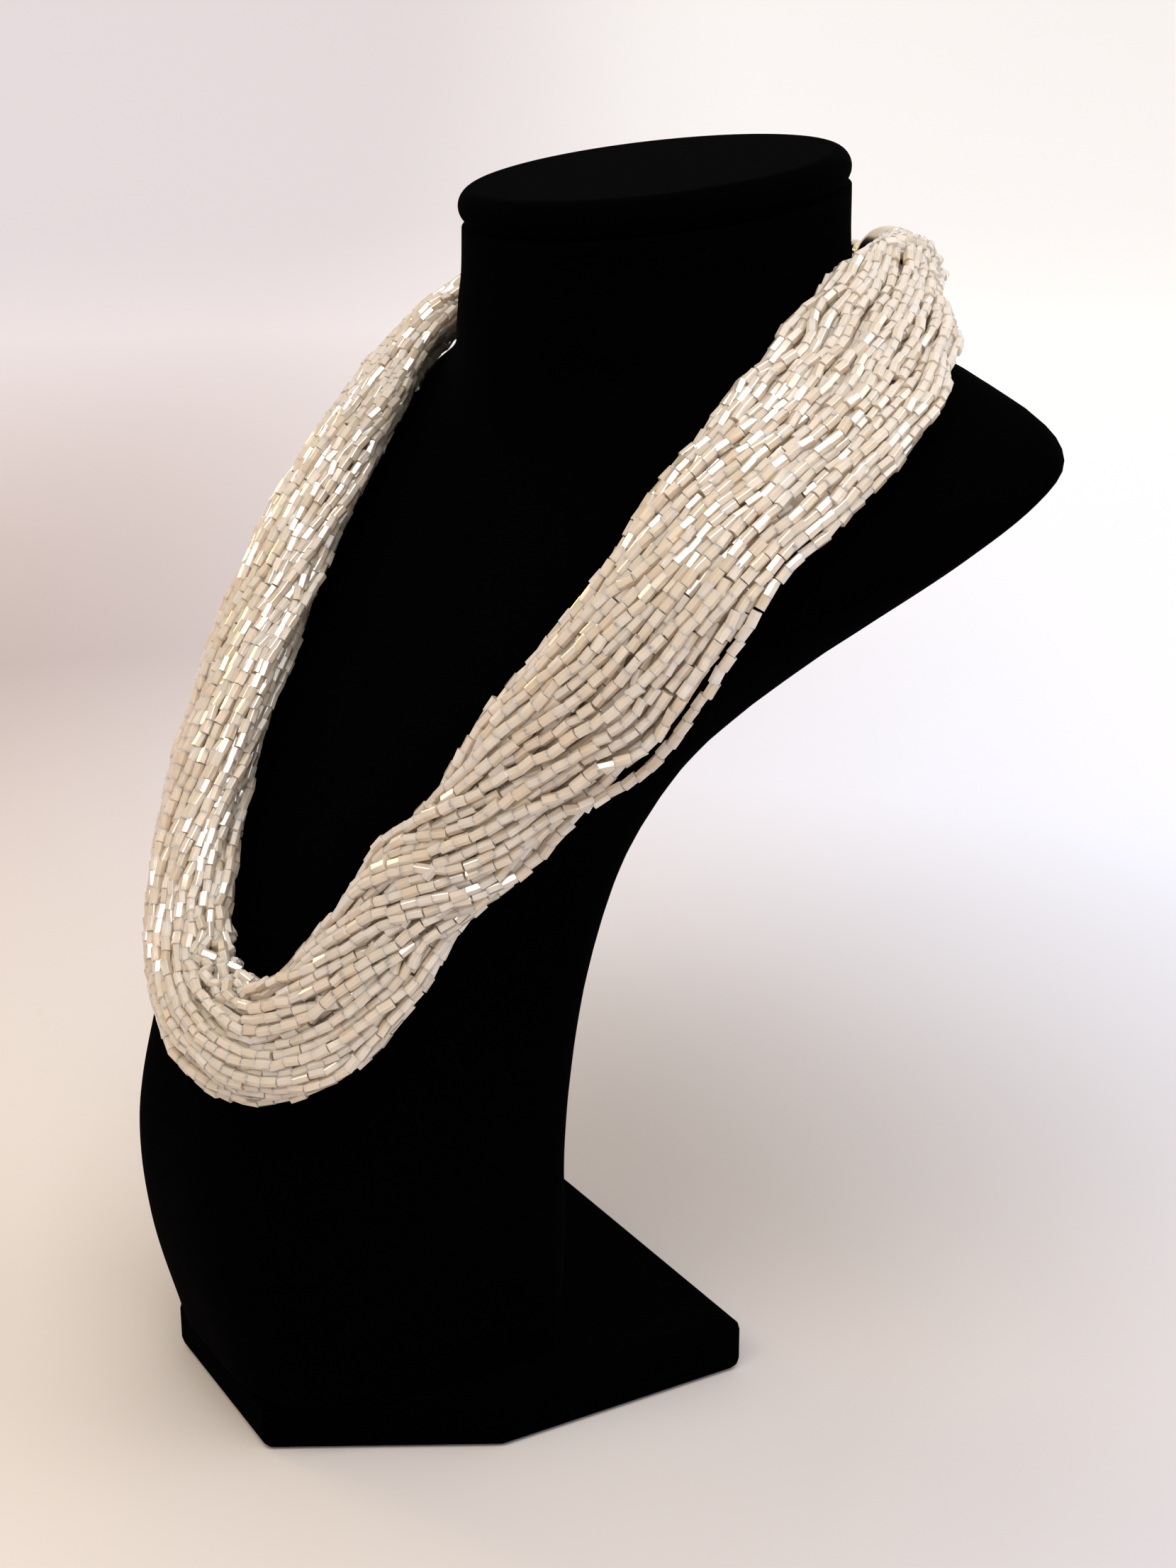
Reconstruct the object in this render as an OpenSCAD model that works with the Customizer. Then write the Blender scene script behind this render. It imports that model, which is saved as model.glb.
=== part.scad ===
// Multi strand bead necklace hanging on a neck bust stand.
// Millimetres, +Z up, the bust faces -Y, the wearer's left side is +X, the foot rests on z = 0.

/* [Foot slab] */
// Widest part of the foot slab, left to right
foot_width = 96.4; // [90:0.2:110]
// Front to back length of the foot slab
foot_depth = 103.6; // [96:0.2:112]
// Width of the slab's narrow front side
foot_front_width = 48.2; // [40:0.2:56]
// Height of the foot slab
foot_thickness = 12; // [10:0.5:14]
// Rounding of the slab's covered edges
foot_edge = 2.5; // [1.5:0.1:4]

/* [Bust] */
// Height of the bust body above the slab
bust_height = 235.4; // [225:0.2:250]
// Width of the bust at its waist
waist_width = 84; // [80:0.5:90]
// Width over both shoulders
shoulder_width = 214; // [205:1:225]
// Diameter of the neck
neck_diameter = 80; // [77:0.5:83]
// How far the neck's centre stands behind the middle of the slab
neck_setback = 56.7; // [54:0.1:59]
// Reach of the waist's front ahead of the slab's middle
belly_reach = 60.8; // [57:0.1:64]
// How far the waist's back stands behind the slab's middle
waist_back = 18.2; // [16:0.1:21]
// Forward slope of the neck's top in degrees
top_tilt = 7.4; // [4:0.1:10]

/* [Neck cap] */
// Thickness of the padded cap on the neck
cap_thickness = 7.3; // [6:0.1:9]
// How far the cap stands out over the neck
cap_overhang = 0.5; // [0:0.1:1.5]

/* [Strand bundle] */
// Width of the strand bundle where it lies on the chest
bundle_width = 28; // [25:0.5:30]
// Thickness of the strand bundle
bundle_thickness = 14; // [12:0.5:15]
// Gap that the velvet pile keeps under the strands
bundle_lift = 0.8; // [0.7:0.1:1.2]
// How far the strands turn round each other from one end of the bundle to the other
bundle_turn = 480; // [240:10:600]
// Diameter of the bundle's gathered ends
end_diameter = 11.2; // [10:0.2:11.6]

/* [End caps and clasp] */
// Outer radius of the domed end caps
dome_radius = 6.6; // [6.3:0.1:6.8]
// Wall of the end caps
dome_wall = 0.45; // [0.3:0.05:0.6]
// Straight length of an end cap before its dome
dome_skirt = 4.5; // [3.5:0.1:6]
// Centre line radius of the link rings
ring_radius = 2.2; // [2:0.1:2.6]
// Wire radius of the link rings
ring_wire = 0.6; // [0.5:0.05:0.7]
// Radius of the barrel clasp
clasp_radius = 2.3; // [1.8:0.1:2.6]

/* [Hidden] */
seat_gap = 0.3;
foot_half_depth = foot_depth / 2;
foot_half_width = foot_width / 2;
foot_front_y = -foot_half_depth;
foot_chamfer_y = foot_front_y + 0.42 * foot_depth;
body_foot = foot_thickness + seat_gap;
body_top = body_foot + bust_height;
neck_radius = neck_diameter / 2;
neck_front = neck_setback - neck_radius;
neck_back = neck_setback + neck_radius;
tilt_start = 0.9;

// Columns of the two body tables
HEIGHT = 0;
WIDE = 1;
FRONT = 2;
BACK = 3;
SIDE = 4;
FRONT_POWER = 5;
BACK_POWER = 6;

// Waist to shoulder: share of the height, share of the way from waist to shoulder width,
// forward lean, backward lean, place of the widest point, roundness of front and back
lower_rows = [
    [0.000, -0.06, 0.91, 1.00, 0.66, 3.6, 4.0],
    [0.100, -0.01, 0.98, 1.00, 0.67, 3.4, 4.0],
    [0.200, 0.00, 1.00, 1.00, 0.67, 3.2, 4.0],
    [0.290, 0.01, 0.94, 0.98, 0.68, 3.2, 4.0],
    [0.370, 0.03, 0.84, 0.94, 0.68, 3.4, 3.8],
    [0.460, 0.09, 0.69, 0.88, 0.68, 3.6, 3.6],
    [0.520, 0.17, 0.58, 0.82, 0.68, 3.6, 3.4],
    [0.585, 0.31, 0.45, 0.74, 0.68, 3.6, 3.2],
    [0.650, 0.51, 0.30, 0.62, 0.70, 3.2, 3.0],
    [0.710, 0.72, 0.17, 0.48, 0.74, 2.6, 2.8],
    [0.765, 0.90, 0.07, 0.34, 0.80, 2.0, 2.8],
    [0.805, 0.97, 0.01, 0.20, 0.84, 1.7, 2.8]
];

// Shoulder to neck, with the width as a share of the way from neck to shoulder width
upper_rows = [
    [0.830, 0.92, 0.00, 0.09, 0.86, 1.6, 2.8],
    [0.853, 0.75, 0.00, 0.03, 0.86, 1.6, 2.8],
    [0.874, 0.49, 0.00, 0.00, 0.80, 1.7, 2.8],
    [0.900, 0.23, 0.00, 0.00, 0.66, 1.9, 2.4],
    [0.925, 0.08, 0.00, 0.00, 0.54, 2.0, 2.0],
    [0.950, 0.02, 0.00, 0.00, 0.50, 2.0, 2.0],
    [1.000, 0.00, 0.00, 0.00, 0.50, 2.0, 2.0]
];

function section_row(row, narrow) =
    let (
        front = neck_front - row[FRONT] * (neck_front + belly_reach),
        back = neck_back - row[BACK] * (neck_back - waist_back)
    )
    [
        body_foot + row[HEIGHT] * bust_height,
        narrow + row[WIDE] * (shoulder_width / 2 - narrow),
        front,
        front + row[SIDE] * (back - front),
        back,
        row[FRONT_POWER],
        row[BACK_POWER]
    ];

sections = concat(
    [for (row = lower_rows) section_row(row, waist_width / 2)],
    [for (row = upper_rows) section_row(row, neck_radius)]
);

// Slope of every column against the first one, from each row's neighbours
function slopes_of(rows) = [
    for (i = [0:len(rows) - 1])
        let (a = rows[max(i - 1, 0)], b = rows[min(i + 1, len(rows) - 1)])
        (b - a) / (b[0] - a[0])
];
section_slopes = slopes_of(sections);

function span_of(rows, x, i = 0) =
    (i >= len(rows) - 2 || x < rows[i + 1][0]) ? i : span_of(rows, x, i + 1);

// Smooth curve through the rows at the value x of their first column
function between(rows, slopes, x) =
    let (
        i = span_of(rows, x),
        step = rows[i + 1][0] - rows[i][0],
        t = (x - rows[i][0]) / step,
        tt = t * t,
        ttt = tt * t
    )
    (2 * ttt - 3 * tt + 1) * rows[i] + (ttt - 2 * tt + t) * step * slopes[i]
    + (3 * tt - 2 * ttt) * rows[i + 1] + (ttt - tt) * step * slopes[i + 1];

function ease(t) = let (c = min(max(t, 0), 1)) c * c * (3 - 2 * c);

// Point of the bust's skin at a height and an angle from the front toward +X
function skin(z, a) =
    let (
        s = between(sections, section_slopes, z),
        ahead = cos(a) >= 0,
        reach = ahead ? s[3] - s[2] : s[4] - s[3],
        power = ahead ? s[5] : s[6],
        r = pow(pow(abs(sin(a)) / s[1], power) + pow(abs(cos(a)) / reach, power), -1 / power),
        y = s[3] - r * cos(a),
        lean = ease((z - body_foot - tilt_start * bust_height) / ((1 - tilt_start) * bust_height))
    )
    [r * sin(a), y, z + lean * (y - neck_setback) * tan(top_tilt)];

probe = 0.05;
function along_up(z, a) = (skin(z + probe, a) - skin(z - probe, a)) / (2 * probe);
function along_turn(z, a) = (skin(z, a + probe) - skin(z, a - probe)) / (2 * probe);
function unit(v) = v / norm(v);
function outward(z, a) = unit(cross(along_turn(z, a), along_up(z, a)));

// Change of height and angle that moves a skin point by the vector d
function walk(z, a, d) =
    let (
        up = along_up(z, a),
        turn = along_turn(z, a),
        uu = up * up,
        ut = up * turn,
        tt = turn * turn,
        det = uu * tt - ut * ut
    )
    [(tt * (up * d) - ut * (turn * d)) / det, (uu * (turn * d) - ut * (up * d)) / det];

// Faces of a closed skin over rings of n points each, ring 0 first
function wall_faces(rings, n) = concat(
    [for (i = [0:rings - 2], k = [0:n - 1]) [i * n + k, (i + 1) * n + k, i * n + (k + 1) % n]],
    [
        for (i = [0:rings - 2], k = [0:n - 1])
            [i * n + (k + 1) % n, (i + 1) * n + k, (i + 1) * n + (k + 1) % n]
    ]
);
function end_faces(rings, n) = [
    [for (k = [0:n - 1]) k],
    [for (k = [0:n - 1]) rings * n - 1 - k]
];

// Rings of the body: first and last share of the height and their number, zone by zone
body_zones = [[0, 0.29, 8], [0.29, 0.77, 14], [0.77, 0.93, 20], [0.93, 1, 5]];
body_shares = concat(
    [for (zone = body_zones, k = [0:zone[2] - 1]) zone[0] + (zone[1] - zone[0]) * k / zone[2]],
    [1]
);
body_points = 56;

// Columns of the necklace's table, after each station's number
RISE = 1;
AROUND = 2;
SPREAD = 3;
DEPTH = 4;
LIFT = 5;
TWIST = 6;

// Stations of the necklace from its +X end round to its -X end: share of the body's height,
// angle from the front, width and thickness as shares of the bundle's, lift as a share,
// share of the twist that is reached
stations = [
    [0.941, 132, 0.70, 1.10, 4.0, 0.00],
    [0.923, 113, 1.00, 1.14, 3.0, 0.01],
    [0.904, 95.5, 0.97, 0.96, 2.0, 0.01],
    [0.880, 75, 1.23, 0.80, 1.4, 0.02],
    [0.847, 64.5, 1.32, 0.78, 1.0, 0.03],
    [0.795, 65, 1.32, 0.84, 1.0, 0.04],
    [0.733, 67, 1.17, 0.90, 1.0, 0.06],
    [0.670, 67.5, 0.96, 0.93, 1.0, 0.09],
    [0.610, 65, 0.79, 0.92, 1.0, 0.14],
    [0.550, 61.5, 0.75, 0.97, 1.0, 0.23],
    [0.490, 54.5, 0.74, 1.00, 1.0, 0.33],
    [0.431, 49, 0.80, 1.00, 1.0, 0.41],
    [0.380, 42.5, 0.93, 1.00, 1.0, 0.46],
    [0.350, 34.5, 0.93, 1.00, 1.0, 0.48],
    [0.349, 23.5, 0.83, 1.00, 1.0, 0.50],
    [0.363, 11, 0.83, 1.00, 1.0, 0.51],
    [0.396, -3, 0.95, 1.00, 1.0, 0.53],
    [0.444, -16.5, 1.08, 1.04, 1.0, 0.58],
    [0.500, -28, 1.15, 1.08, 1.0, 0.64],
    [0.560, -38, 1.18, 1.10, 1.0, 0.70],
    [0.620, -45, 1.18, 1.10, 1.0, 0.76],
    [0.680, -50.5, 1.20, 1.08, 1.0, 0.81],
    [0.740, -52, 1.20, 1.00, 1.0, 0.86],
    [0.800, -54, 1.18, 0.88, 1.0, 0.91],
    [0.850, -58, 1.12, 0.78, 1.0, 0.94],
    [0.885, -72, 1.10, 0.78, 1.4, 0.97],
    [0.905, -92, 1.04, 0.90, 2.0, 0.98],
    [0.923, -113, 0.98, 1.10, 3.0, 0.99],
    [0.941, -132, 0.70, 1.10, 4.0, 1.00]
];
route_rows = [for (i = [0:len(stations) - 1]) concat([i], stations[i])];
route_slopes = slopes_of(route_rows);
rings_per_station = 2.5;
route_rings = round((len(stations) - 1) * rings_per_station);
bundle_points = 30;
lobes = 5;
lobe_depth = 0.09;
twist_fade = 6;

function route(i) = between(route_rows, route_slopes, i * (len(stations) - 1) / route_rings);
function route_skin(i) =
    let (row = route(i))
    skin(body_foot + row[RISE] * bust_height, row[AROUND]);

// Shape of the section at ring i and angle t, with shallow lobes that twist along the bundle
function lobe_scale(i, t) =
    let (
        fade = min(1, i / twist_fade, (route_rings - i) / twist_fade),
        turned = t + bundle_turn * route(i)[TWIST]
    )
    1 - lobe_depth * fade * (0.5 - 0.5 * cos(lobes * turned));

// Point a step across from the route's place z, a and some way above the skin
function spot(z, a, move, across, above) =
    let (zu = z + move[0] * across, au = a + move[1] * across)
    skin(zu, au) + outward(zu, au) * above;

// One ring of the bundle, laid on the skin so that it follows the bust's curve, with the
// steps across shortened so that its true width comes out in the middle of its thickness
function bundle_ring(i) =
    let (
        row = route(i),
        z = body_foot + row[RISE] * bust_height,
        a = row[AROUND],
        half_width = row[SPREAD] * bundle_width / 2,
        half_thick = row[DEPTH] * bundle_thickness / 2,
        lift = row[LIFT] * bundle_lift + half_thick,
        ahead = unit(route_skin(min(i + 0.5, route_rings)) - route_skin(max(i - 0.5, 0))),
        move = walk(z, a, unit(cross(outward(z, a), ahead))),
        span = norm(spot(z, a, move, half_width, lift) - spot(z, a, move, -half_width, lift)),
        fit = 2 * half_width / span
    )
    [
        for (k = [0:bundle_points - 1])
            let (t = 360 * k / bundle_points, size = lobe_scale(i, t))
            spot(z, a, move, -half_width * cos(t) * size * fit, lift + half_thick * sin(t) * size)
    ];

// End caps: the mouth's place around the neck and the turn of the cap's axis
mouth_angle = 146;
mouth_clearance = 3;
mouth_reach = neck_radius + dome_radius + mouth_clearance;
mouth_x = mouth_reach * sin(mouth_angle);
mouth_y = neck_setback - mouth_reach * cos(mouth_angle);
mouth_z = body_foot + 0.952 * bust_height;
cap_yaw = 14;
dome_reach = dome_skirt + dome_radius;
ring_seat = ring_radius - ring_wire;
ring_centre = dome_reach + ring_seat;
link_spacing = 2 * (ring_radius - ring_wire) - 0.2;
gathered = dome_skirt - 0.5;

// One round ring of the gathered strands inside an end cap, side +1 or -1
function gathered_ring(side, depth) =
    let (
        x = mouth_x - depth * cos(cap_yaw),
        y = mouth_y + depth * sin(cap_yaw),
        r = end_diameter / 2
    )
    [
        for (k = [0:bundle_points - 1])
            let (t = 360 * k / bundle_points)
            [
                side * (x + r * sin(t) * sin(cap_yaw)),
                y + r * sin(t) * cos(cap_yaw),
                mouth_z + r * cos(t)
            ]
    ];

bundle_rings = concat(
    [gathered_ring(1, gathered), gathered_ring(1, -1)],
    [for (i = [0:route_rings]) bundle_ring(i)],
    [gathered_ring(-1, -1), gathered_ring(-1, gathered)]
);

// Clasp: its rings hook into the end caps' rings
clasp_ring_x = mouth_x - (ring_centre + link_spacing) * cos(cap_yaw);
clasp_y = mouth_y + (ring_centre + link_spacing) * sin(cap_yaw);
clasp_half = clasp_ring_x - ring_radius;
clasp_groove = 0.35;

velvet_colour = [0.05, 0.05, 0.06];
bead_colour = [0.85, 0.77, 0.68];
metal_colour = [0.8, 0.74, 0.6];

foot_slab();
bust_body();
neck_cap();
strand_bundle();
end_cap_left();
end_cap_right();
clasp();

// Six sided slab with softly rounded, covered edges
module foot_slab() {
    inner = foot_half_width - foot_edge;
    front_inner = foot_front_width / 2 - foot_edge * 0.6;
    corners = [
        [front_inner, foot_front_y + foot_edge],
        [inner, foot_chamfer_y + foot_edge * 0.3],
        [inner, foot_half_depth - foot_edge]
    ];
    color(velvet_colour)
        hull() {
            for (corner = corners, side = [-1, 1], turn = [0, 30, 60, 90])
                translate([side * corner[0], corner[1], foot_edge * (1 - sin(turn))])
                    cylinder(
                        r = foot_edge * cos(turn) + 0.05,
                        h = foot_thickness - 2 * foot_edge * (1 - sin(turn)),
                        $fn = 24
                    );
        }
}

// Slanted chest, shoulders and neck as one skin
module bust_body() {
    points = [
        for (share = body_shares, k = [0:body_points - 1])
            skin(body_foot + share * bust_height, 360 * k / body_points)
    ];
    rings = len(body_shares);
    color(velvet_colour)
        polyhedron(
            points = points,
            faces = concat(wall_faces(rings, body_points), end_faces(rings, body_points)),
            convexity = 6
        );
}

// Padded round cap with a full round edge
module neck_cap() {
    edge = cap_thickness / 2;
    core = neck_radius + cap_overhang - edge;
    color(velvet_colour)
        translate([0, neck_setback, body_top])
            rotate([top_tilt, 0, 0])
                translate([0, 0, seat_gap])
                    rotate_extrude($fn = 120)
                        union() {
                            square([core, cap_thickness]);
                            translate([core, edge])
                                circle(r = edge, $fn = 48);
                        }
}

// All the bead strands as one twisted bundle over the shoulders and chest
module strand_bundle() {
    rings = len(bundle_rings);
    points = [for (ring = bundle_rings, point = ring) point];
    color(bead_colour)
        polyhedron(
            points = points,
            faces = concat(wall_faces(rings, bundle_points), end_faces(rings, bundle_points)),
            convexity = 10
        );
}

// Upright link ring with its hole along x
module link_ring() {
    rotate_extrude($fn = 64)
        translate([ring_radius, 0])
            circle(r = ring_wire, $fn = 24);
}

// Domed cap over the gathered strands, its axis along +Z from the mouth, with its link ring
module end_cap() {
    inner = dome_radius - dome_wall;
    color(metal_colour) {
        rotate_extrude($fn = 96)
            difference() {
                union() {
                    square([dome_radius, dome_skirt]);
                    intersection() {
                        translate([0, dome_skirt])
                            circle(r = dome_radius, $fn = 96);
                        translate([0, dome_skirt])
                            square([dome_radius, dome_radius]);
                    }
                }
                translate([0, -1])
                    square([inner, dome_skirt + 1]);
                intersection() {
                    translate([0, dome_skirt])
                        circle(r = inner, $fn = 96);
                    translate([0, dome_skirt - 0.5])
                        square([inner, inner + 0.5]);
                }
            }
        translate([0, 0, ring_centre])
            rotate([90, 0, 0])
                link_ring();
    }
}

// Cap at the wearer's left, its axis turned toward the clasp
module end_cap_left() {
    translate([mouth_x, mouth_y, mouth_z])
        rotate([0, 0, 180 - cap_yaw])
            rotate([0, 90, 0])
                end_cap();
}

module end_cap_right() {
    mirror([1, 0, 0])
        end_cap_left();
}

// Plain barrel clasp across the back of the neck
module clasp() {
    color(metal_colour)
        translate([0, clasp_y, mouth_z]) {
            rotate([0, 90, 0])
                difference() {
                    cylinder(r = clasp_radius, h = 2 * clasp_half, center = true, $fn = 64);
                    for (side = [-1, 1])
                        translate([0, 0, side * clasp_half * 0.75])
                            rotate_extrude($fn = 64)
                                translate([clasp_radius, 0])
                                    circle(r = clasp_groove, $fn = 24);
                }
            for (side = [-1, 1])
                translate([side * clasp_ring_x, 0, 0])
                    link_ring();
        }
}
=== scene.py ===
import math

import bpy
import numpy as np
from mathutils import Matrix, Vector


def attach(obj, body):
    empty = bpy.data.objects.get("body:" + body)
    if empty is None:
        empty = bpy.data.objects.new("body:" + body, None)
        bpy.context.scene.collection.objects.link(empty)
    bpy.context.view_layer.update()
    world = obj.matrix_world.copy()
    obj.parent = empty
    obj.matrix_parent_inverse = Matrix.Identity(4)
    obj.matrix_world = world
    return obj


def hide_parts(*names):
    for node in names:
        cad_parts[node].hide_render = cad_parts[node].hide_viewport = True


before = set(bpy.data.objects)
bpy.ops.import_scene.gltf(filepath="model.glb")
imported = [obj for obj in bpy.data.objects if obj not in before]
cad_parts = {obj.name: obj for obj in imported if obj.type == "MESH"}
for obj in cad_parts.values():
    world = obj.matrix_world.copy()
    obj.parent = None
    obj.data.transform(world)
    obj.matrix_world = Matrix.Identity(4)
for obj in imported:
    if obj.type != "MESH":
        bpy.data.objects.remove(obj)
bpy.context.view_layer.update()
rng = np.random.default_rng(11)

# All sizes below are in millimetres, as in the part's source, and MM turns them into metres.
MM = 0.001

# Bust sizes
foot_thickness = 12.0
seat_gap = 0.3
bust_height = 235.4
waist_width = 84.0
shoulder_width = 214.0
neck_diameter = 80.0
neck_setback = 56.7
belly_reach = 60.8
waist_back = 18.2
top_tilt = math.radians(7.4)
tilt_start = 0.9
body_foot = foot_thickness + seat_gap
neck_radius = neck_diameter / 2
neck_front = neck_setback - neck_radius
neck_back = neck_setback + neck_radius

# Necklace sizes
bundle_width = 28.0
bundle_thickness = 14.0
bundle_lift = 0.8
bundle_turn = math.radians(480)
end_diameter = 11.2
dome_radius = 6.6
mouth_angle = math.radians(146)
mouth_clearance = 3.0
cap_yaw = math.radians(14)
strand_count = 70
bead_width = 1.95
bead_length = 3.05

# Waist to shoulder: share of the height, share of the way from waist to shoulder width,
# forward lean, backward lean, place of the widest point, roundness of front and back
LOWER_ROWS = (
    (0.000, -0.06, 0.91, 1.00, 0.66, 3.6, 4.0),
    (0.100, -0.01, 0.98, 1.00, 0.67, 3.4, 4.0),
    (0.200, 0.00, 1.00, 1.00, 0.67, 3.2, 4.0),
    (0.290, 0.01, 0.94, 0.98, 0.68, 3.2, 4.0),
    (0.370, 0.03, 0.84, 0.94, 0.68, 3.4, 3.8),
    (0.460, 0.09, 0.69, 0.88, 0.68, 3.6, 3.6),
    (0.520, 0.17, 0.58, 0.82, 0.68, 3.6, 3.4),
    (0.585, 0.31, 0.45, 0.74, 0.68, 3.6, 3.2),
    (0.650, 0.51, 0.30, 0.62, 0.70, 3.2, 3.0),
    (0.710, 0.72, 0.17, 0.48, 0.74, 2.6, 2.8),
    (0.765, 0.90, 0.07, 0.34, 0.80, 2.0, 2.8),
    (0.805, 0.97, 0.01, 0.20, 0.84, 1.7, 2.8),
)

# Shoulder to neck, with the width as a share of the way from neck to shoulder width
UPPER_ROWS = (
    (0.830, 0.92, 0.00, 0.09, 0.86, 1.6, 2.8),
    (0.853, 0.75, 0.00, 0.03, 0.86, 1.6, 2.8),
    (0.874, 0.49, 0.00, 0.00, 0.80, 1.7, 2.8),
    (0.900, 0.23, 0.00, 0.00, 0.66, 1.9, 2.4),
    (0.925, 0.08, 0.00, 0.00, 0.54, 2.0, 2.0),
    (0.950, 0.02, 0.00, 0.00, 0.50, 2.0, 2.0),
    (1.000, 0.00, 0.00, 0.00, 0.50, 2.0, 2.0),
)

# Stations of the necklace from its +X end round to its -X end: share of the body's height,
# angle from the front, width and thickness as shares of the bundle's, lift as a share,
# share of the twist that is reached
STATIONS = (
    (0.941, 132, 0.70, 1.10, 4.0, 0.00),
    (0.923, 113, 1.00, 1.14, 3.0, 0.01),
    (0.904, 95.5, 0.97, 0.96, 2.0, 0.01),
    (0.880, 75, 1.23, 0.80, 1.4, 0.02),
    (0.847, 64.5, 1.32, 0.78, 1.0, 0.03),
    (0.795, 65, 1.32, 0.84, 1.0, 0.04),
    (0.733, 67, 1.17, 0.90, 1.0, 0.06),
    (0.670, 67.5, 0.96, 0.93, 1.0, 0.09),
    (0.610, 65, 0.79, 0.92, 1.0, 0.14),
    (0.550, 61.5, 0.75, 0.97, 1.0, 0.23),
    (0.490, 54.5, 0.74, 1.00, 1.0, 0.33),
    (0.431, 49, 0.80, 1.00, 1.0, 0.41),
    (0.380, 42.5, 0.93, 1.00, 1.0, 0.46),
    (0.350, 34.5, 0.93, 1.00, 1.0, 0.48),
    (0.349, 23.5, 0.83, 1.00, 1.0, 0.50),
    (0.363, 11, 0.83, 1.00, 1.0, 0.51),
    (0.396, -3, 0.95, 1.00, 1.0, 0.53),
    (0.444, -16.5, 1.08, 1.04, 1.0, 0.58),
    (0.500, -28, 1.15, 1.08, 1.0, 0.64),
    (0.560, -38, 1.18, 1.10, 1.0, 0.70),
    (0.620, -45, 1.18, 1.10, 1.0, 0.76),
    (0.680, -50.5, 1.20, 1.08, 1.0, 0.81),
    (0.740, -52, 1.20, 1.00, 1.0, 0.86),
    (0.800, -54, 1.18, 0.88, 1.0, 0.91),
    (0.850, -58, 1.12, 0.78, 1.0, 0.94),
    (0.885, -72, 1.10, 0.78, 1.4, 0.97),
    (0.905, -92, 1.04, 0.90, 2.0, 0.98),
    (0.923, -113, 0.98, 1.10, 3.0, 0.99),
    (0.941, -132, 0.70, 1.10, 4.0, 1.00),
)


# Curves through tables


def slopes_of(rows):
    """Slope of every column against the first one, from each row's two neighbours."""
    ahead = np.vstack([rows[1:], rows[-1:]])
    behind = np.vstack([rows[:1], rows[:-1]])
    return (ahead - behind) / (ahead - behind)[:, :1]


def between(rows, slopes, x):
    """Smooth curve through the rows at the values x of their first column: a cubic between
    each two rows that meets both with their slopes."""
    x = np.asarray(x, float)
    i = np.clip(np.searchsorted(rows[:, 0], x, side="right") - 1, 0, len(rows) - 2)
    step = (rows[i + 1, 0] - rows[i, 0])[..., None]
    t = (x - rows[i, 0])[..., None] / step
    return (
        (2 * t**3 - 3 * t**2 + 1) * rows[i]
        + (t**3 - 2 * t**2 + t) * step * slopes[i]
        + (3 * t**2 - 2 * t**3) * rows[i + 1]
        + (t**3 - t**2) * step * slopes[i + 1]
    )


def section_rows():
    """The body tables turned into height, half width, front, side and back places, powers."""
    out = []
    for rows, narrow in ((LOWER_ROWS, waist_width / 2), (UPPER_ROWS, neck_radius)):
        for height, wide, front, back, side, front_power, back_power in rows:
            y_front = neck_front - front * (neck_front + belly_reach)
            y_back = neck_back - back * (neck_back - waist_back)
            out.append(
                (
                    body_foot + height * bust_height,
                    narrow + wide * (shoulder_width / 2 - narrow),
                    y_front,
                    y_front + side * (y_back - y_front),
                    y_back,
                    front_power,
                    back_power,
                )
            )
    return np.array(out)


SECTIONS = section_rows()
SECTION_SLOPES = slopes_of(SECTIONS)


def skin(z, a):
    """Point of the bust's skin at height z and angle a from the front toward +X.

    Each section is a rounded box: its reach along the angle is the power mean of the half width
    and of the reach to the front or the back. The neck's top leans by top_tilt."""
    z, a = np.broadcast_arrays(np.asarray(z, float), np.asarray(a, float))
    s = between(SECTIONS, SECTION_SLOPES, z)
    ahead = np.cos(a) >= 0
    reach = np.where(ahead, s[..., 3] - s[..., 2], s[..., 4] - s[..., 3])
    power = np.where(ahead, s[..., 5], s[..., 6])
    r = (np.abs(np.sin(a)) / s[..., 1]) ** power + (np.abs(np.cos(a)) / reach) ** power
    r = r ** (-1 / power)
    y = s[..., 3] - r * np.cos(a)
    share = np.clip((z - body_foot - tilt_start * bust_height) / ((1 - tilt_start) * bust_height), 0, 1)
    lean = share * share * (3 - 2 * share)
    return np.stack([r * np.sin(a), y, z + lean * (y - neck_setback) * math.tan(top_tilt)], -1)


def unit(v):
    """Vectors divided by their length."""
    return v / np.linalg.norm(v, axis=-1, keepdims=True)


PROBE_MM = 0.05
PROBE_TURN = 0.001


def along_up(z, a):
    """Change of the skin point for each millimetre of height, from two near points."""
    return (skin(z + PROBE_MM, a) - skin(z - PROBE_MM, a)) / (2 * PROBE_MM)


def along_turn(z, a):
    """Change of the skin point for each radian of angle, from two near points."""
    return (skin(z, a + PROBE_TURN) - skin(z, a - PROBE_TURN)) / (2 * PROBE_TURN)


def outward(z, a):
    """Direction straight out of the skin, square to both changes."""
    return unit(np.cross(along_turn(z, a), along_up(z, a)))


def walk(z, a, d):
    """Change of height and angle that moves a skin point by the vector d, from the two
    equations that the products with both changes give."""
    up, turn = along_up(z, a), along_turn(z, a)
    uu, ut, tt = (up * up).sum(-1), (up * turn).sum(-1), (turn * turn).sum(-1)
    du, dt = (up * d).sum(-1), (turn * d).sum(-1)
    det = uu * tt - ut * ut
    return (tt * du - ut * dt) / det, (uu * dt - ut * du) / det


# Mesh helpers


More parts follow.
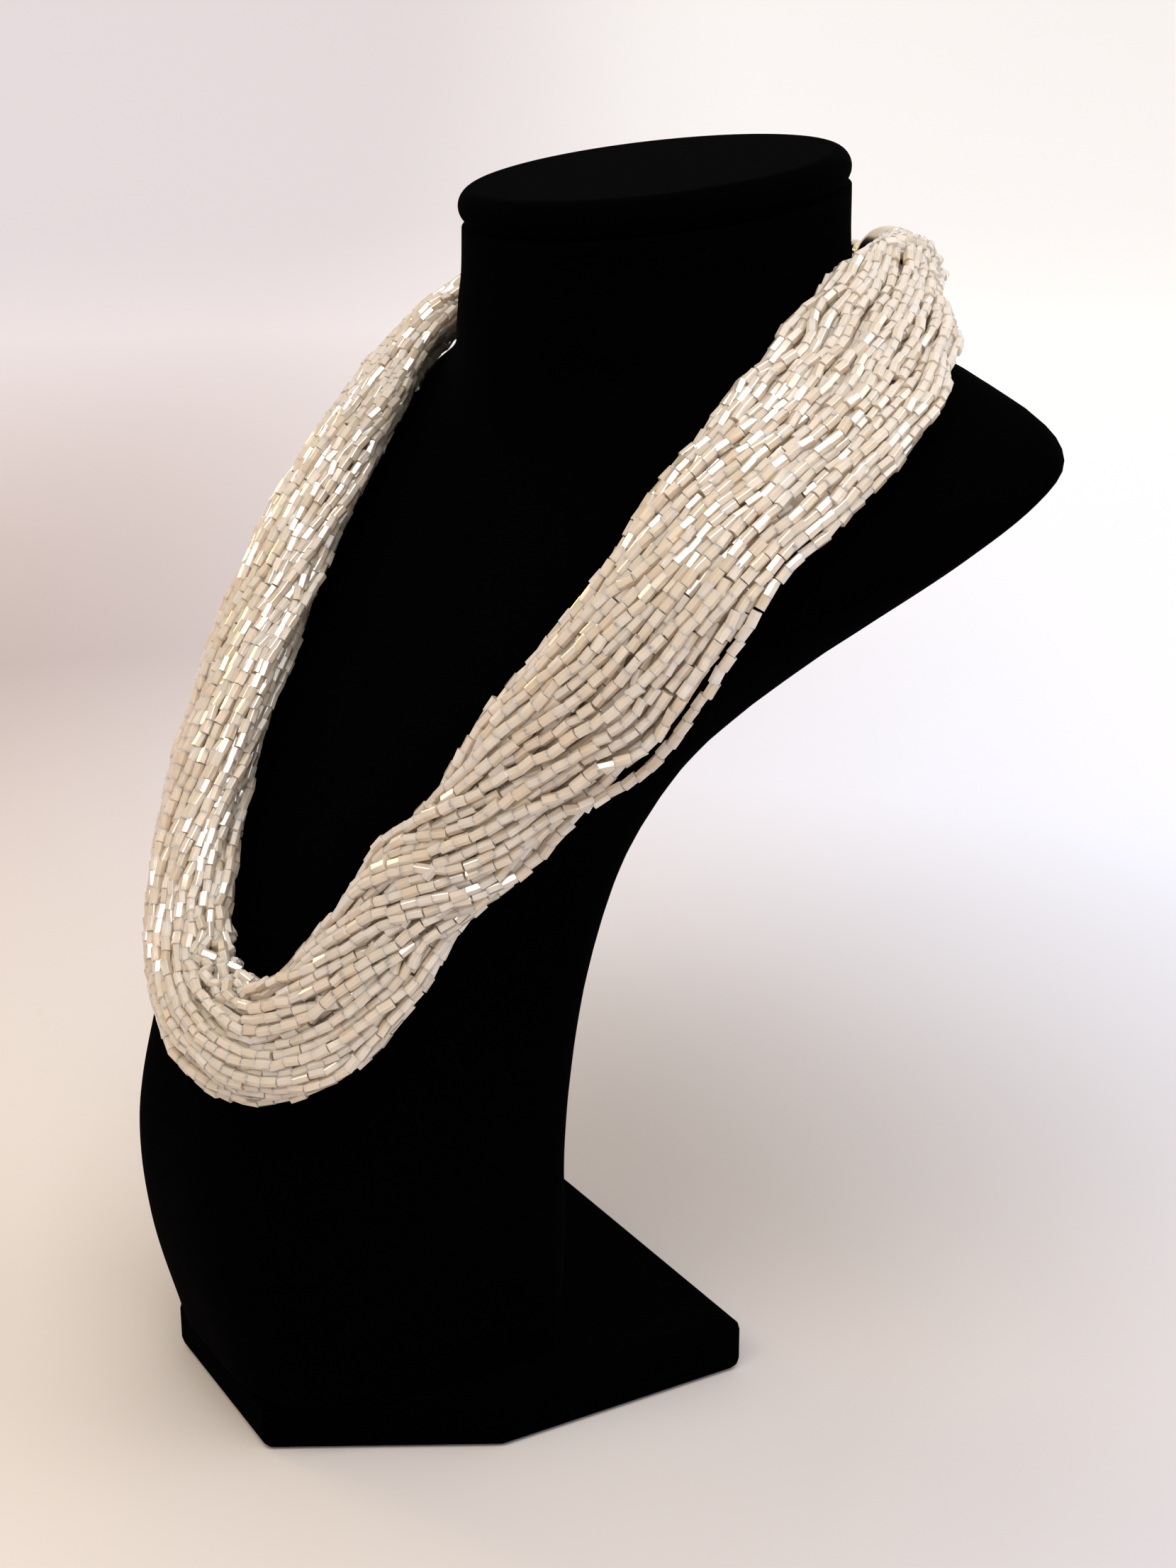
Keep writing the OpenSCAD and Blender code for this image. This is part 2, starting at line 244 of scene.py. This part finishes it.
def mesh_object(name, verts, faces, slot_name, material):
    """A smooth piece from vertices in millimetres, riding on the one body if a slot name is given."""
    mesh = bpy.data.meshes.new(name)
    mesh.from_pydata((np.asarray(verts) * MM).tolist(), [], faces)
    mesh.polygons.foreach_set("use_smooth", np.full(len(mesh.polygons), True))
    mesh.materials.append(material)
    obj = bpy.data.objects.new(name, mesh)
    bpy.context.scene.collection.objects.link(obj)
    if slot_name:
        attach(obj, "root")
    return obj


def ring_faces(rings, n):
    """Quads between neighbouring rings of n points, plus the two end faces."""
    i, k = np.meshgrid(np.arange(rings - 1), np.arange(n), indexing="ij")
    j = (k + 1) % n
    quads = np.stack([i * n + k, i * n + j, (i + 1) * n + j, (i + 1) * n + k], -1).reshape(-1, 4)
    ends = [list(range(n - 1, -1, -1)), [(rings - 1) * n + m for m in range(n)]]
    return quads.tolist() + ends


# Materials


def new_material(name):
    """A material with its nodes, its links and its one shader."""
    mat = bpy.data.materials.new(name)
    mat.use_nodes = True
    nodes = mat.node_tree.nodes
    shader = nodes["Principled BSDF"]
    return mat, nodes, mat.node_tree.links, shader


def colour_ramp(nodes, stops):
    """A ramp through the given places and colours."""
    ramp = nodes.new("ShaderNodeValToRGB")
    while len(ramp.color_ramp.elements) < len(stops):
        ramp.color_ramp.elements.new(0.5)
    for element, (place, colour) in zip(ramp.color_ramp.elements, stops):
        element.position = place
        element.color = (*colour, 1.0)
    return ramp


def velvet_material():
    """Black pile: hardly any reflection, a faint sheen and a fine uneven surface."""
    mat, nodes, links, shader = new_material("velvet")
    coords = nodes.new("ShaderNodeTexCoord")
    pile = nodes.new("ShaderNodeTexNoise")
    pile.inputs["Scale"].default_value = 900.0
    pile.inputs["Detail"].default_value = 3.0
    links.new(coords.outputs["Object"], pile.inputs["Vector"])
    ramp = nodes.new("ShaderNodeMapRange")
    ramp.inputs["To Min"].default_value = 0.6
    ramp.inputs["To Max"].default_value = 1.4
    links.new(pile.outputs["Fac"], ramp.inputs["Value"])
    tint = nodes.new("ShaderNodeVectorMath")
    tint.operation = "SCALE"
    tint.inputs[0].default_value = (0.0003, 0.0003, 0.0004)
    links.new(ramp.outputs["Result"], tint.inputs["Scale"])
    links.new(tint.outputs["Vector"], shader.inputs["Base Color"])
    bump = nodes.new("ShaderNodeBump")
    bump.inputs["Strength"].default_value = 0.4
    bump.inputs["Distance"].default_value = 0.0004
    links.new(pile.outputs["Fac"], bump.inputs["Height"])
    links.new(bump.outputs["Normal"], shader.inputs["Normal"])
    shader.inputs["Roughness"].default_value = 1.0
    shader.inputs["Specular IOR Level"].default_value = 0.004
    shader.inputs["Sheen Weight"].default_value = 0.001
    shader.inputs["Sheen Roughness"].default_value = 0.45
    shader.inputs["Sheen Tint"].default_value = (0.7, 0.7, 0.8, 1.0)
    return mat


# Colours of the glass, from the yellowest bead to the palest
BEAD_TONES = (
    (0.0, (0.86, 0.68, 0.47)),
    (0.5, (0.91, 0.77, 0.61)),
    (1.0, (0.95, 0.85, 0.74)),
)


def bead_material():
    """Milky champagne glass: each bead has its own tone, and the middle of its ends, where the thread
    runs through, is darkened as painted shade.
    """
    mat, nodes, links, shader = new_material("bead_glass")
    tone = nodes.new("ShaderNodeAttribute")
    tone.attribute_name = "tone"
    ramp = colour_ramp(nodes, BEAD_TONES)
    links.new(tone.outputs["Fac"], ramp.inputs["Fac"])
    uv = nodes.new("ShaderNodeUVMap")
    uv.uv_map = "bead_uv"
    reach = nodes.new("ShaderNodeVectorMath")
    reach.operation = "LENGTH"
    links.new(uv.outputs["UV"], reach.inputs[0])
    # Painted shade: the middle of each bead's flat end is darkened where the thread passes through
    painted_hole_shade = nodes.new("ShaderNodeMapRange")
    painted_hole_shade.inputs["From Min"].default_value = 0.34
    painted_hole_shade.inputs["From Max"].default_value = 0.42
    painted_hole_shade.inputs["To Min"].default_value = 0.85
    painted_hole_shade.inputs["To Max"].default_value = 1.0
    links.new(reach.outputs["Value"], painted_hole_shade.inputs["Value"])
    dark = nodes.new("ShaderNodeVectorMath")
    dark.operation = "SCALE"
    links.new(ramp.outputs["Color"], dark.inputs[0])
    links.new(painted_hole_shade.outputs["Result"], dark.inputs["Scale"])
    links.new(dark.outputs["Vector"], shader.inputs["Base Color"])
    shader.inputs["Roughness"].default_value = 0.22
    shader.inputs["IOR"].default_value = 1.5
    shader.inputs["Transmission Weight"].default_value = 0.5
    shader.inputs["Subsurface Weight"].default_value = 0.8
    shader.inputs["Subsurface Radius"].default_value = (1.0, 0.95, 0.9)
    shader.inputs["Subsurface Scale"].default_value = 0.0012
    shader.inputs["Coat Weight"].default_value = 1.0
    shader.inputs["Coat Roughness"].default_value = 0.04
    shader.inputs["Coat IOR"].default_value = 2.2
    return mat


def metal_material():
    """Polished pale gold, plain all over."""
    mat, _, _, shader = new_material("pale_gold")
    shader.inputs["Base Color"].default_value = (0.80, 0.70, 0.54, 1.0)
    shader.inputs["Metallic"].default_value = 1.0
    shader.inputs["Roughness"].default_value = 0.2
    return mat


VELVET = velvet_material()
BEADS = bead_material()
METAL = metal_material()

for node_name, material in (
    ("foot_slab", VELVET),
    ("neck_cap", VELVET),
    ("end_cap_left", METAL),
    ("end_cap_right", METAL),
    ("clasp", METAL),
):
    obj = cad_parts[node_name]
    obj.data.materials.clear()
    obj.data.materials.append(material)


# Bust body, the same skin as the part's with finer rings

BODY_RINGS = 150
BODY_POINTS = 160


def build_bust():
    """Rings of skin points at even heights, joined into one closed surface."""
    heights = np.linspace(body_foot, body_foot + bust_height, BODY_RINGS)
    turns = np.linspace(0, 2 * math.pi, BODY_POINTS, endpoint=False)
    verts = skin(heights[:, None], turns[None, :]).reshape(-1, 3)
    obj = mesh_object("bust_skin", verts, ring_faces(BODY_RINGS, BODY_POINTS), "velvet", VELVET)
    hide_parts("bust_body")
    return obj


build_bust()


# Strands

# The table's rows behind their number, with the angles in radians
ROUTE = np.array([(i, *row) for i, row in enumerate(STATIONS)], float)
ROUTE[:, 2] = np.radians(ROUTE[:, 2])
ROUTE_SLOPES = slopes_of(ROUTE)
ROUTE_POINTS = 1200
SECTION_STEP = 2.0
# Middle of the left end cap's mouth, with its height as a share of the body's
MOUTH_SHARE = 0.952
mouth_reach = neck_radius + dome_radius + mouth_clearance
MOUTH = np.array(
    [
        mouth_reach * math.sin(mouth_angle),
        neck_setback - mouth_reach * math.cos(mouth_angle),
        body_foot + MOUTH_SHARE * bust_height,
    ]
)


def route_sections():
    """Sections of the bundle at even steps along its middle: table rows and lengths."""
    fine = np.linspace(0, len(ROUTE) - 1, ROUTE_POINTS)
    rows = between(ROUTE, ROUTE_SLOPES, fine)
    z, a = body_foot + rows[:, 1] * bust_height, rows[:, 2]
    lift = rows[:, 5] * bundle_lift + rows[:, 4] * bundle_thickness / 2
    middle = skin(z, a) + outward(z, a) * lift[:, None]
    length = np.r_[0, np.cumsum(np.linalg.norm(np.diff(middle, axis=0), axis=1))]
    count = int(length[-1] / SECTION_STEP)
    places = np.linspace(0, length[-1], count)
    return between(ROUTE, ROUTE_SLOPES, np.interp(places, length, fine)), places


def lay_on_skin(rows, pos):
    """Strand centres pos (across, above the section's middle) laid on the bust's skin.

    Steps across are shortened so that the section's true width comes out in its middle."""
    z, a = body_foot + rows[:, 1] * bust_height, rows[:, 2]
    lift = rows[:, 5] * bundle_lift + rows[:, 4] * bundle_thickness / 2
    half = rows[:, 3] * bundle_width / 2
    ahead = unit(np.gradient(skin(z, a), axis=0))
    dz, da = walk(z, a, unit(np.cross(outward(z, a), ahead)))

    def spot(across, above):
        zu, au = z[:, None] + dz[:, None] * across, a[:, None] + da[:, None] * across
        return skin(zu, au) + outward(zu, au) * (lift[:, None] + above)[..., None]

    edges = spot(half[:, None] * np.array([-1.0, 1.0]), np.zeros((1, 2)))
    fit = 2 * half / np.linalg.norm(edges[:, 1] - edges[:, 0], axis=-1)
    return spot(pos[..., 0] * fit[:, None], pos[..., 1])


def lay_in_cap(side, depth, pos):
    """Strand centres in a plane across an end cap, depth behind its mouth."""
    centre = MOUTH + depth * np.array([-math.cos(cap_yaw), math.sin(cap_yaw), 0])
    out = np.array([math.sin(cap_yaw), math.cos(cap_yaw), 0])
    points = centre + pos[:, :1] * np.array([0, 0, -1.0]) + pos[:, 1:] * out
    return points * np.array([side, 1, 1])


PUSH_SHARE = 0.7
SMOOTH_SHARE = 0.3


def settle(pos, half, present, reach, rounds):
    """Pushes the strands of every cross-section apart until they lie the given reach from
    each other, keeps them in the section's ellipse, and smooths each along its length."""
    pair = present[:, :, None] & present[:, None, :]
    pair[:, np.arange(pos.shape[1]), np.arange(pos.shape[1])] = False
    for _ in range(rounds):
        away = pos[:, :, None] - pos[:, None]
        dist = np.sqrt((away**2).sum(-1)) + 1e-6
        push = np.where(pair, np.clip(reach - dist, 0, None) / dist, 0) * 0.5
        pos = pos + PUSH_SHARE * (away * push[..., None]).sum(2)
        size = np.sqrt(((pos / half) ** 2).sum(-1, keepdims=True))
        pos = pos / np.maximum(size, 1)
        pos[1:-1] += SMOOTH_SHARE * ((pos[:-2] + pos[2:]) / 2 - pos[1:-1])
    return pos


WAVE_SPREAD = 0.85, 1.2


def waves(lengths, shape, swings):
    """Random waves along the bundle, one for each entry of shape: a sum of sines, each with
    its own phase and a period near its wave length."""
    out = np.zeros((len(lengths), *shape))
    at = lengths.reshape(-1, *([1] * len(shape)))
    for wave, swing in swings:
        phase = rng.uniform(0, 2 * math.pi, shape)
        period = wave * rng.uniform(*WAVE_SPREAD, shape)
        out += swing * np.sin(2 * math.pi * at / period + phase)
    return out


# Places of the strands' first sections behind a cap's mouth, and the way from there to the
# first station
CAP_DEPTHS = (3.5, 1.5, -0.5)
CAP_TAIL = 12.0
# Strands that wander together, and the twist of the middle strand with what the rim adds
GROUPS = 7
CORE_TWIST, RIM_TWIST = 0.8, 0.2
# Places along the bundle, from its +X end, and how far the effect reaches: where the strands
# lie less evenly, where an outer one hangs free, and where the U squeezes the inner ones
LOOSE_PLACE, LOOSE_REACH, LOOSE_SHARE = 195.0, 50.0, 0.8
HANG_PLACE, HANG_REACH, HANG_MM, HANG_EVERY = 142.0, 20.0, 3.5, 3
KINK_PLACE, KINK_REACH = 248.0, 18.0
# Wave lengths with their swings: shares of the section's half size, and at the kink millimetres
GROUP_WAVES = ((160.0, 0.07), (80.0, 0.05))
STRAND_WAVES = ((90.0, 0.05), (45.0, 0.035))
EDGE_WAVES = ((70.0, 0.05), (22.0, 0.05))
KINK_WAVES = ((12.0, 1.5), (8.0, 0.9))
# A strand counts as an inner or an outer one from one part of the half width on, and wholly
# so after a further part
INNER_FROM, INNER_OVER = 0.4, 0.4
OUTER_FROM, OUTER_OVER = 0.6, 0.3
# Room left at a section's edge, across and above, in bead widths
EDGE_ROOM = (0.1, 0.5)
# Share of a section that strands fill, the area of one strand's six sided cell as a share of
# its width squared, and the least distance between two strands
FILL_SHARE = 0.86
CELL_SHARE = 0.866
STRAND_REACH = bead_width * 0.96
SETTLE_ROUNDS = 50


def near(lengths, place, reach):
    """Soft hump of height one around a place along the bundle."""
    return np.exp(-(((lengths - place) / reach) ** 2))


def strand_paths():
    """Centre lines of all strands, one row of points each, and where each has its beads.

    The strands start evenly spread over a disc, turn with the twist and wander slowly.
    Near the ends, where fewer fit side by side, the inner ones stop first."""
    rows, places = route_sections()
    depths = np.array(CAP_DEPTHS)
    lengths = np.r_[-CAP_TAIL - depths, places, places[-1] + CAP_TAIL + depths[::-1]]
    caps = len(CAP_DEPTHS)
    k = np.arange(strand_count)
    rho = np.sqrt((k + 0.5) / strand_count)
    start = k * math.pi * (3 - math.sqrt(5))
    turned = np.interp(lengths, places, bundle_turn * rows[:, 6])
    theta = start - turned[:, None] * (CORE_TWIST + RIM_TWIST * rho)
    disc = rho[:, None] * np.stack([-np.cos(theta), np.sin(theta)], -1)
    loose = 1 + LOOSE_SHARE * near(lengths, LOOSE_PLACE, LOOSE_REACH)[:, None, None]
    group = (start / (2 * math.pi) % 1 * GROUPS).astype(int)
    disc += loose * waves(lengths, (GROUPS, 2), GROUP_WAVES)[:, group]
    disc += loose * waves(lengths, (strand_count, 2), STRAND_WAVES)
    half = np.empty((len(lengths), 2))
    half[caps:-caps, 0] = rows[:, 3] * bundle_width / 2
    half[caps:-caps, 1] = rows[:, 4] * bundle_thickness / 2
    half[:caps] = half[-caps:] = end_diameter / 2
    room = math.pi * half[:, 0] * half[:, 1] * FILL_SHARE / (CELL_SHARE * bead_width**2)
    present = (strand_count - 1 - k)[None, :] < room[:, None]
    inner = (half - bead_width * np.array(EDGE_ROOM))[:, None]
    edge = 1 + waves(lengths, (strand_count, 1), EDGE_WAVES)
    pos = settle(disc * inner, inner * edge, present, STRAND_REACH, SETTLE_ROUNDS)
    inside = np.clip((-pos[..., 0] / half[:, None, 0] - INNER_FROM) / INNER_OVER, 0, 1)
    squeeze = inside * near(lengths, KINK_PLACE, KINK_REACH)[:, None]
    pos += squeeze[..., None] * waves(lengths, (strand_count, 2), KINK_WAVES)
    outside = np.clip((pos[..., 0] / half[:, None, 0] - OUTER_FROM) / OUTER_OVER, 0, 1)
    hang = outside * near(lengths, HANG_PLACE, HANG_REACH)[:, None]
    pos[..., 0] += hang * np.where(k % HANG_EVERY == 1, HANG_MM, 0)
    points = [lay_in_cap(1, d, pos[i]) for i, d in enumerate(CAP_DEPTHS)]
    points += list(lay_on_skin(rows, pos[caps:-caps]))
    points += [lay_in_cap(-1, d, pos[i - caps]) for i, d in enumerate(CAP_DEPTHS[::-1])]
    return np.array(points).transpose(1, 0, 2), present.T


# Beads

PATH_POINTS = 1500
# Least and greatest length of a bead as shares of the pitch, and the same for its radius
BEAD_LENGTHS = 1.0, 1.07
BEAD_RADII = 0.92, 1.06
# Spread of a bead's lean as a share of its half length, and of its place in millimetres
BEAD_LEAN = 0.14
BEAD_SHIFT = 0.15
TONE_MIDDLE, TONE_SPREAD = 0.5, 0.16
# Each bead is a six sided tube with cut edges, so that broad and narrow faces alternate
BEAD_SIDES = 12
SIDE_TURN = math.pi / 3
BROAD_TURN = math.radians(51)
# A direction that no bead lies along, from which its sides are turned
SIDE_HINT = (0.31, 0.22, 0.93)


def string_beads(path, present):
    """Ends of the beads threaded along one path, at even steps of its length."""
    length = np.r_[0, np.cumsum(np.linalg.norm(np.diff(path, axis=0), axis=1))]
    fine = np.linspace(0, length[-1], PATH_POINTS)
    smooth = np.stack([np.interp(fine, length, path[:, c]) for c in range(3)], -1)
    first, last = np.nonzero(present)[0][[0, -1]]
    start, stop = length[first] + rng.uniform(0, bead_length), length[last]
    at = np.arange(start, stop - bead_length, bead_length)
    size = bead_length * rng.uniform(*BEAD_LENGTHS, len(at))
    return [
        np.stack([np.interp(at + s, fine, smooth[:, c]) for c in range(3)], -1)
        for s in (0, size)
    ]


def bead_corners(low, high):
    """Corners of tubes from the points low to high, and the turns of the corners.

    Each tube leans and shifts a little at random. Its corners lie on a circle round its axis,
    in pairs a sixth of a turn apart, and the whole circle is rolled at random."""
    n = len(low)
    centre, axis = (low + high) / 2, high - low
    half = np.linalg.norm(axis, axis=1) / 2
    lean = rng.normal(0, BEAD_LEAN, (n, 3)) * half[:, None]
    centre = centre + rng.normal(0, BEAD_SHIFT, (n, 3))
    axis = unit(axis + lean)
    side = unit(np.cross(axis, np.tile(SIDE_HINT, (n, 1))))
    up = np.cross(axis, side)
    radius = bead_width / 2 / math.cos(BROAD_TURN / 2) * rng.uniform(*BEAD_RADII, n)
    roll = rng.uniform(0, SIDE_TURN, n)
    sides = np.arange(BEAD_SIDES)
    turn = sides // 2 * SIDE_TURN + sides % 2 * BROAD_TURN
    corner = (roll[:, None] + turn)[..., None]
    around = side[:, None] * np.cos(corner) + up[:, None] * np.sin(corner)
    middle = centre[:, None] + around * radius[:, None, None]
    along = (axis * half[:, None])[:, None]
    return np.stack([middle - along, middle + along], 1).reshape(-1, 3), turn


def bead_mesh(name, low, high):
    """Six sided glass tubes from the points low to high, as one piece with a tone for each
    bead and a map that is a unit circle on their ends and lies outside it on their walls."""
    n = len(low)
    verts, turn = bead_corners(low, high)
    local = ring_faces(2, BEAD_SIDES)
    quads = np.array(local[:-2])
    caps = np.array(local[-2:])
    first = np.arange(n)[:, None, None] * 2 * BEAD_SIDES
    quads = (quads[None] + first).reshape(-1, 4)
    caps = (caps[None] + first).reshape(-1, BEAD_SIDES)
    mesh = bpy.data.meshes.new(name)
    mesh.vertices.add(len(verts))
    mesh.vertices.foreach_set("co", (verts * MM).astype(np.float32).ravel())
    mesh.loops.add(quads.size + caps.size)
    mesh.loops.foreach_set("vertex_index", np.r_[quads.ravel(), caps.ravel()].astype(np.int32))
    mesh.polygons.add(len(quads) + len(caps))
    starts = np.r_[np.arange(len(quads)) * 4, quads.size + np.arange(len(caps)) * BEAD_SIDES]
    mesh.polygons.foreach_set("loop_start", starts.astype(np.int32))
    mesh.polygons.foreach_set("use_smooth", np.zeros(len(starts), bool))
    mesh.update(calc_edges=True)
    tone = mesh.attributes.new("tone", "FLOAT", "POINT")
    per_bead = np.clip(rng.normal(TONE_MIDDLE, TONE_SPREAD, n), 0, 1)
    tone.data.foreach_set("value", np.repeat(per_bead, 2 * BEAD_SIDES).astype(np.float32))
    uv = mesh.uv_layers.new(name="bead_uv")
    wall_uv = np.tile([[2.0, 0.0], [3.0, 0.0], [3.0, 1.0], [2.0, 1.0]], (len(quads), 1))
    flat = np.stack([np.cos(turn), np.sin(turn)], -1)
    cap_uv = np.tile(np.vstack([flat[::-1], flat]), (n, 1))
    uv.data.foreach_set("uv", np.vstack([wall_uv, cap_uv]).astype(np.float32).ravel())
    mesh.materials.append(BEADS)
    mesh.validate()
    obj = bpy.data.objects.new(name, mesh)
    bpy.context.scene.collection.objects.link(obj)
    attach(obj, "root")
    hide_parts("strand_bundle")
    return obj


def build_strands(groups):
    """Threads all strands and shares them out over the given number of pieces."""
    paths, present = strand_paths()
    for g in range(groups):
        ends = [string_beads(paths[j], present[j]) for j in range(g, strand_count, groups)]
        low = np.vstack([e[0] for e in ends])
        high = np.vstack([e[1] for e in ends])
        bead_mesh("bead_strands_%d" % (g + 1), low, high)


build_strands(4)


# Floor, lights and camera

CAMERA_PLACE = Vector((431.85, -211.83, 294.0)) * MM
CAMERA_TURN = math.radians(59.71)
CAMERA_PITCH = math.radians(18.73)
CAMERA_ROLL = math.radians(-0.06)
CAMERA_LENS = 55.42
# Direction in which the room's light and the floor's painted light get whiter
WINDOW_TURN = math.radians(59.7)
FLOOR_SPREAD = 0.3
FLOOR_NEAR, FLOOR_FAR = 0.1, 1.6
# Floor colours that paint the room's light and shade, on the warm side and on the window's white side,
# from near the object to far from it
FLOOR_WARM_LIGHT_AND_SHADE = (
    (0.0, (0.62, 0.56, 0.50)),
    # Painted shade: a darker band on the warm side, between near and far
    (0.33, (0.41, 0.35, 0.35)),
    (1.0, (0.80, 0.75, 0.77)),
)
FLOOR_WINDOW_LIGHT_AND_SHADE = (
    (0.0, (0.455, 0.43, 0.43)),
    (0.2, (0.69, 0.72, 0.81)),
    (1.0, (1.0, 1.0, 1.0)),
)
# The floor is a disc, in millimetres, that rises beyond a distance
FLOOR_RINGS, FLOOR_POINTS = 60, 96
FLOOR_REACH = 6000.0
FLOOR_RISE_START = 2500.0
FLOOR_RISE = 2500.0


def floor_material():
    """Pale surface with painted light: white toward the window's side, warm on the other, and darker
    near the object as painted shade.
    """
    mat, nodes, links, shader = new_material("pale_floor")
    coords = nodes.new("ShaderNodeTexCoord")
    toward = nodes.new("ShaderNodeVectorMath")
    toward.operation = "DOT_PRODUCT"
    toward.inputs[1].default_value = (math.cos(WINDOW_TURN), math.sin(WINDOW_TURN), 0.0)
    links.new(coords.outputs["Object"], toward.inputs[0])
    across = nodes.new("ShaderNodeMapRange")
    across.interpolation_type = "SMOOTHSTEP"
    across.inputs["From Min"].default_value = -FLOOR_SPREAD
    across.inputs["From Max"].default_value = FLOOR_SPREAD
    links.new(toward.outputs["Value"], across.inputs["Value"])
    reach = nodes.new("ShaderNodeVectorMath")
    reach.operation = "LENGTH"
    links.new(coords.outputs["Object"], reach.inputs[0])
    away = nodes.new("ShaderNodeMapRange")
    away.inputs["From Min"].default_value = FLOOR_NEAR
    away.inputs["From Max"].default_value = FLOOR_FAR
    links.new(reach.outputs["Value"], away.inputs["Value"])
    mix = nodes.new("ShaderNodeMix")
    mix.data_type = "RGBA"
    links.new(across.outputs["Result"], mix.inputs["Factor"])
    for side, stops in (("A", FLOOR_WARM_LIGHT_AND_SHADE), ("B", FLOOR_WINDOW_LIGHT_AND_SHADE)):
        ramp = colour_ramp(nodes, stops)
        links.new(away.outputs["Result"], ramp.inputs["Fac"])
        links.new(ramp.outputs["Color"], mix.inputs[side])
    links.new(mix.outputs["Result"], shader.inputs["Base Color"])
    shader.inputs["Roughness"].default_value = 0.9
    shader.inputs["Specular IOR Level"].default_value = 0.1
    return mat


def build_floor():
    """A large disc, flat near the object, whose height grows with the square of the distance
    past the start of its rise. Its rings lie closer together near the object."""
    r = np.linspace(0, 1, FLOOR_RINGS) ** 1.5 * FLOOR_REACH
    turn = np.linspace(0, 2 * math.pi, FLOOR_POINTS, endpoint=False)
    beyond = np.clip((r - FLOOR_RISE_START) / (FLOOR_REACH - FLOOR_RISE_START), 0, 1)
    height = beyond**2 * FLOOR_RISE
    x = r[:, None] * np.sin(turn)
    y = r[:, None] * np.cos(turn)
    verts = np.stack([x, y, height[:, None] + 0 * x], -1)[1:].reshape(-1, 3)
    verts = np.vstack([verts, [[0, 0, 0]]])
    faces = [f[::-1] for f in ring_faces(FLOOR_RINGS - 1, FLOOR_POINTS)[:-2]]
    centre = len(verts) - 1
    faces += [[centre, (k + 1) % FLOOR_POINTS, k] for k in range(FLOOR_POINTS)]
    obj = mesh_object("floor", verts, faces, None, floor_material())
    return obj


build_floor()


def build_camera():
    """The camera at its place, turned, pitched and rolled as the photograph was taken."""
    data = bpy.data.cameras.new("camera")
    data.lens = CAMERA_LENS
    data.sensor_width = 36.0
    data.clip_start, data.clip_end = 0.01, 50.0
    cam = bpy.data.objects.new("camera", data)
    bpy.context.scene.collection.objects.link(cam)
    a, p = CAMERA_TURN, CAMERA_PITCH
    ahead = Vector((-math.sin(a) * math.cos(p), math.cos(a) * math.cos(p), -math.sin(p)))
    right = Vector((math.cos(a), math.sin(a), 0))
    up = right.cross(ahead)
    turn = Matrix((right, up, -ahead)).transposed().to_4x4()
    cam.matrix_world = Matrix.Translation(CAMERA_PLACE) @ turn @ Matrix.Rotation(CAMERA_ROLL, 4, "Z")
    bpy.context.scene.camera = cam
    return cam


build_camera()


# Each light: place, the point that it faces, width and height, power, colour
LIGHTS = {
    "window": ((1.0, 1.2, 1.3), (0.0, 0.0, 0.12), (1.2, 1.0), 5.8, (0.97, 0.96, 1.0)),
    "lamp": ((-1.15, -0.6, 0.75), (0.0, 0.0, 0.14), (0.34, 0.34), 3.4, (1.0, 0.70, 0.24)),
    "front": ((0.38, -0.85, 1.15), (0.03, 0.0, 0.14), (0.4, 0.4), 3.4, (1.0, 0.88, 0.70)),
    "overhead": ((0.6, -0.3, 1.35), (0.03, 0.0, 0.15), (0.8, 0.8), 11.6, (0.98, 0.96, 0.98)),
}
# Colours of the room from its warm side to the window's side and the ceiling
ROOM_COLOURS = (
    (0.0, (0.20, 0.10, 0.01)),
    (0.5, (0.56, 0.51, 0.44)),
    (1.0, (0.98, 0.99, 1.05)),
)
ROOM_ACROSS, ROOM_UP = 0.45, 0.25
ROOM_STRENGTH = 1.33


def area_light(name, place, target, size, power, colour):
    """A soft rectangle of light that faces its target."""
    data = bpy.data.lights.new(name, "AREA")
    data.shape = "RECTANGLE"
    data.size, data.size_y = size
    data.energy = power
    data.color = colour
    obj = bpy.data.objects.new(name, data)
    bpy.context.scene.collection.objects.link(obj)
    way = (Vector(target) - Vector(place)).to_track_quat("-Z", "Y")
    obj.matrix_world = Matrix.Translation(Vector(place)) @ way.to_matrix().to_4x4()
    return obj


def build_room():
    """Light from all round, which gets whiter toward the window and the ceiling."""
    world = bpy.data.worlds.new("soft_room")
    bpy.context.scene.world = world
    world.use_nodes = True
    nodes, links = world.node_tree.nodes, world.node_tree.links
    coords = nodes.new("ShaderNodeTexCoord")
    toward = nodes.new("ShaderNodeVectorMath")
    toward.operation = "DOT_PRODUCT"
    side = ROOM_ACROSS * math.cos(WINDOW_TURN), ROOM_ACROSS * math.sin(WINDOW_TURN)
    toward.inputs[1].default_value = (*side, ROOM_UP)
    links.new(coords.outputs["Generated"], toward.inputs[0])
    shift = nodes.new("ShaderNodeMath")
    shift.inputs[1].default_value = 0.5
    links.new(toward.outputs["Value"], shift.inputs[0])
    sky = colour_ramp(nodes, ROOM_COLOURS)
    links.new(shift.outputs["Value"], sky.inputs["Fac"])
    background = nodes["Background"]
    links.new(sky.outputs["Color"], background.inputs["Color"])
    background.inputs["Strength"].default_value = ROOM_STRENGTH
    bpy.context.scene.view_settings.view_transform = "Standard"


for name, values in LIGHTS.items():
    area_light(name, *values)
build_room()
